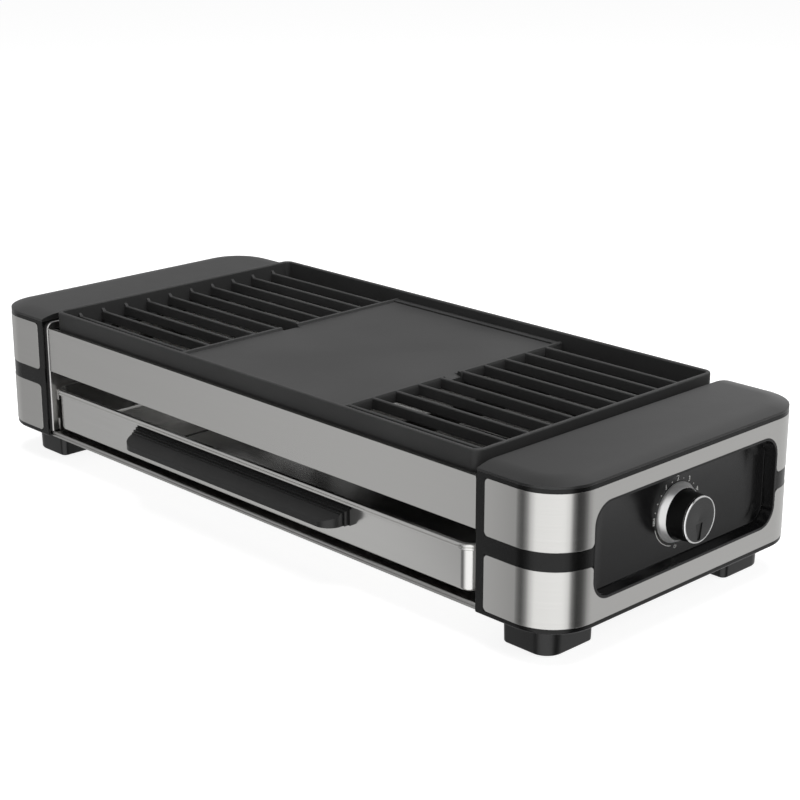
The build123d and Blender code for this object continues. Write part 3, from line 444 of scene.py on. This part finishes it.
# Printed dial: a sweep for keep-warm, dots and numbers for heat, and a mark for off
arc_path = [
    dial_point(arc_from + (arc_to - arc_from) * step / arc_steps, mark_radius)
    for step in range(arc_steps + 1)
]
ribbon("dial_sweep", arc_path, line_width, ink)
for number, angle in enumerate(dot_angles):
    disc(f"dial_dot_{number}", dial_point(angle, mark_radius), dot_radius, ink)
for words, angle in digit_angles.items():
    lettering(f"dial_number_{words}", words, angle, digit_radius, digit_height, 0)
lettering("dial_low", "MIN", word_angle, digit_radius, word_height, word_angle)
off_centre = dial_point(0, mark_radius + off_drop)
off_path = []
for step in range(off_steps + 1):
    turn = math.radians(off_gap + (360 - 2 * off_gap) * step / off_steps)
    off_path.append(
        off_centre + Vector((0, off_radius * math.sin(turn), off_radius * math.cos(turn)))
    )
ribbon("dial_off_ring", off_path, line_width, ink)
off_bar = [off_centre + Vector((0, 0, off_radius * share)) for share in off_bar_reach]
ribbon("dial_off_bar", off_bar, line_width, ink)


# Pointer on the knob: a dark wedge with a bevelled top, painted shade that darkens the
# pointer's pocket
def pointer_shade_wedge():
    outline = (
        (-pointer_wide, pointer_start),
        (pointer_wide, pointer_start),
        (pointer_narrow, pointer_end),
        (-pointer_narrow, pointer_end),
    )
    middle = (pointer_start + pointer_end) / 2
    points = []
    for rise, share in ((0, 1), (pointer_rise / 2, 1), (pointer_rise, pointer_top_share)):
        for across, down in outline:
            lean = middle + (down - middle) * share
            points.append(
                Vector(
                    (
                        pointer_floor + rise,
                        dial_centre[0] + across * share,
                        dial_centre[1] - lean,
                    )
                )
            )
    faces = [(0, 1, 2, 3), (11, 10, 9, 8)]
    for ring in (0, 4):
        for corner in range(4):
            turn = (corner + 1) % 4
            faces.append((ring + turn, ring + corner, ring + 4 + corner, ring + 4 + turn))
    mesh_piece("knob_pointer", points, faces, pointer_painted_shade, "knob")


pointer_shade_wedge()


# Floor: how white it lights the part, how white the camera sees it, and its own glow
floor_white = 0.8
floor_seen = 0.42
floor_glow = 0.87
floor_size = 14


def floor_material():
    surface = bpy.data.materials.new("floor_white")
    surface.use_nodes = True
    nodes, links = surface.node_tree.nodes, surface.node_tree.links
    nodes.clear()
    rays = nodes.new("ShaderNodeLightPath")
    plain = nodes.new("ShaderNodeBsdfDiffuse")
    plain.inputs["Color"].default_value = (floor_white, floor_white, floor_white, 1)
    shaded = nodes.new("ShaderNodeBsdfDiffuse")
    shaded.inputs["Color"].default_value = (floor_seen, floor_seen, floor_seen, 1)
    glow = nodes.new("ShaderNodeEmission")
    glow.inputs["Strength"].default_value = floor_glow
    both = nodes.new("ShaderNodeAddShader")
    choose = nodes.new("ShaderNodeMixShader")
    end = nodes.new("ShaderNodeOutputMaterial")
    links.new(shaded.outputs[0], both.inputs[0])
    links.new(glow.outputs[0], both.inputs[1])
    links.new(rays.outputs["Is Camera Ray"], choose.inputs["Fac"])
    links.new(plain.outputs[0], choose.inputs[1])
    links.new(both.outputs[0], choose.inputs[2])
    links.new(choose.outputs[0], end.inputs["Surface"])
    return surface


floor_data = bpy.data.meshes.new("floor")
floor_corners = [(-floor_size, -floor_size, 0), (floor_size, -floor_size, 0)]
floor_corners += [(floor_size, floor_size, 0), (-floor_size, floor_size, 0)]
floor_data.from_pydata(floor_corners, [], [(0, 1, 2, 3)])
floor_data.materials.append(floor_material())
floor = bpy.data.objects.new("floor", floor_data)
scene.collection.objects.link(floor)
floor.visible_glossy = False


# The reflected walls, as shares of a full turn from -X through -Y, +X and +Y
world_level = 0.2
walls_seen = {
    0: 0.5,
    0.09: 0.42,
    0.128: 0.62,
    0.155: 0.18,
    0.183: 0.1,
    0.211: 0.3,
    0.239: 0.85,
    0.27: 1.2,
    0.43: 1.25,
    0.465: 1.05,
    0.49: 0.2,
    0.517: 0.05,
    0.55: 0.08,
    0.575: 0.2,
    0.6: 0.48,
    0.63: 0.62,
    0.83: 0.68,
    0.875: 0.3,
    1: 0.5,
}


def studio_world():
    """White to the camera, soft grey light, and bright and dark walls in reflections."""
    world = bpy.data.worlds.new("studio")
    world.use_nodes = True
    nodes, links = world.node_tree.nodes, world.node_tree.links
    nodes.clear()
    rays = nodes.new("ShaderNodeLightPath")
    place = nodes.new("ShaderNodeTexCoord")
    split = nodes.new("ShaderNodeSeparateXYZ")
    around = nodes.new("ShaderNodeMath")
    around.operation = "ARCTAN2"
    turn = nodes.new("ShaderNodeMapRange")
    turn.inputs["From Min"].default_value = -math.pi
    turn.inputs["From Max"].default_value = math.pi
    walls = nodes.new("ShaderNodeValToRGB")
    walls.color_ramp.interpolation = "EASE"
    elements = walls.color_ramp.elements
    for position, level in walls_seen.items():
        if position == 0:
            element = elements[0]
        elif position == 1:
            element = elements[len(elements) - 1]
            element.position = 1
        else:
            element = elements.new(position)
        element.color = (level, level, level, 1)
    soft = nodes.new("ShaderNodeBackground")
    soft.inputs["Color"].default_value = (1, 1, 1, 1)
    soft.inputs["Strength"].default_value = world_level
    mirror = nodes.new("ShaderNodeBackground")
    white = nodes.new("ShaderNodeBackground")
    white.inputs["Color"].default_value = (1, 1, 1, 1)
    by_gloss = nodes.new("ShaderNodeMixShader")
    by_camera = nodes.new("ShaderNodeMixShader")
    end = nodes.new("ShaderNodeOutputWorld")
    links.new(place.outputs["Generated"], split.inputs["Vector"])
    links.new(split.outputs["Y"], around.inputs[0])
    links.new(split.outputs["X"], around.inputs[1])
    links.new(around.outputs[0], turn.inputs["Value"])
    links.new(turn.outputs["Result"], walls.inputs["Fac"])
    links.new(walls.outputs["Color"], mirror.inputs["Color"])
    links.new(rays.outputs["Is Glossy Ray"], by_gloss.inputs["Fac"])
    links.new(soft.outputs[0], by_gloss.inputs[1])
    links.new(mirror.outputs[0], by_gloss.inputs[2])
    links.new(rays.outputs["Is Camera Ray"], by_camera.inputs["Fac"])
    links.new(by_gloss.outputs[0], by_camera.inputs[1])
    links.new(white.outputs[0], by_camera.inputs[2])
    links.new(by_camera.outputs[0], end.inputs["Surface"])
    return world


scene.world = studio_world()


def soft_lamp(name, place, target, size, power):
    data = bpy.data.lights.new(name, "AREA")
    data.shape = "RECTANGLE"
    data.size, data.size_y = size
    data.energy = power
    lamp = bpy.data.objects.new(name, data)
    lamp.location = place
    lamp.rotation_mode = "QUATERNION"
    aim = Vector(target) - Vector(place)
    lamp.rotation_quaternion = aim.to_track_quat("-Z", "Y")
    lamp.visible_glossy = False
    scene.collection.objects.link(lamp)


soft_lamp("lamp_top", place=(0.1, 0.1, 1.6), target=(0, 0, 0.05), size=(1.6, 1.0), power=33)
soft_lamp("lamp_left", place=(-1.3, -1.2, 1.0), target=(0, 0, 0.06), size=(0.9, 0.9), power=1.5)
soft_lamp("lamp_right", place=(1.6, 0.4, 0.9), target=(0.1, 0, 0.06), size=(0.9, 0.9), power=7)

camera_data = bpy.data.cameras.new("camera")
camera_data.lens = camera_lens
camera_data.sensor_width = camera_sensor
camera = bpy.data.objects.new("camera", camera_data)
camera.location = camera_place
camera.rotation_mode = "QUATERNION"
camera_aim = Vector(camera_target) - Vector(camera_place)
camera.rotation_quaternion = camera_aim.to_track_quat("-Z", "Y")
scene.collection.objects.link(camera)
scene.camera = camera

scene.view_settings.view_transform = "Standard"
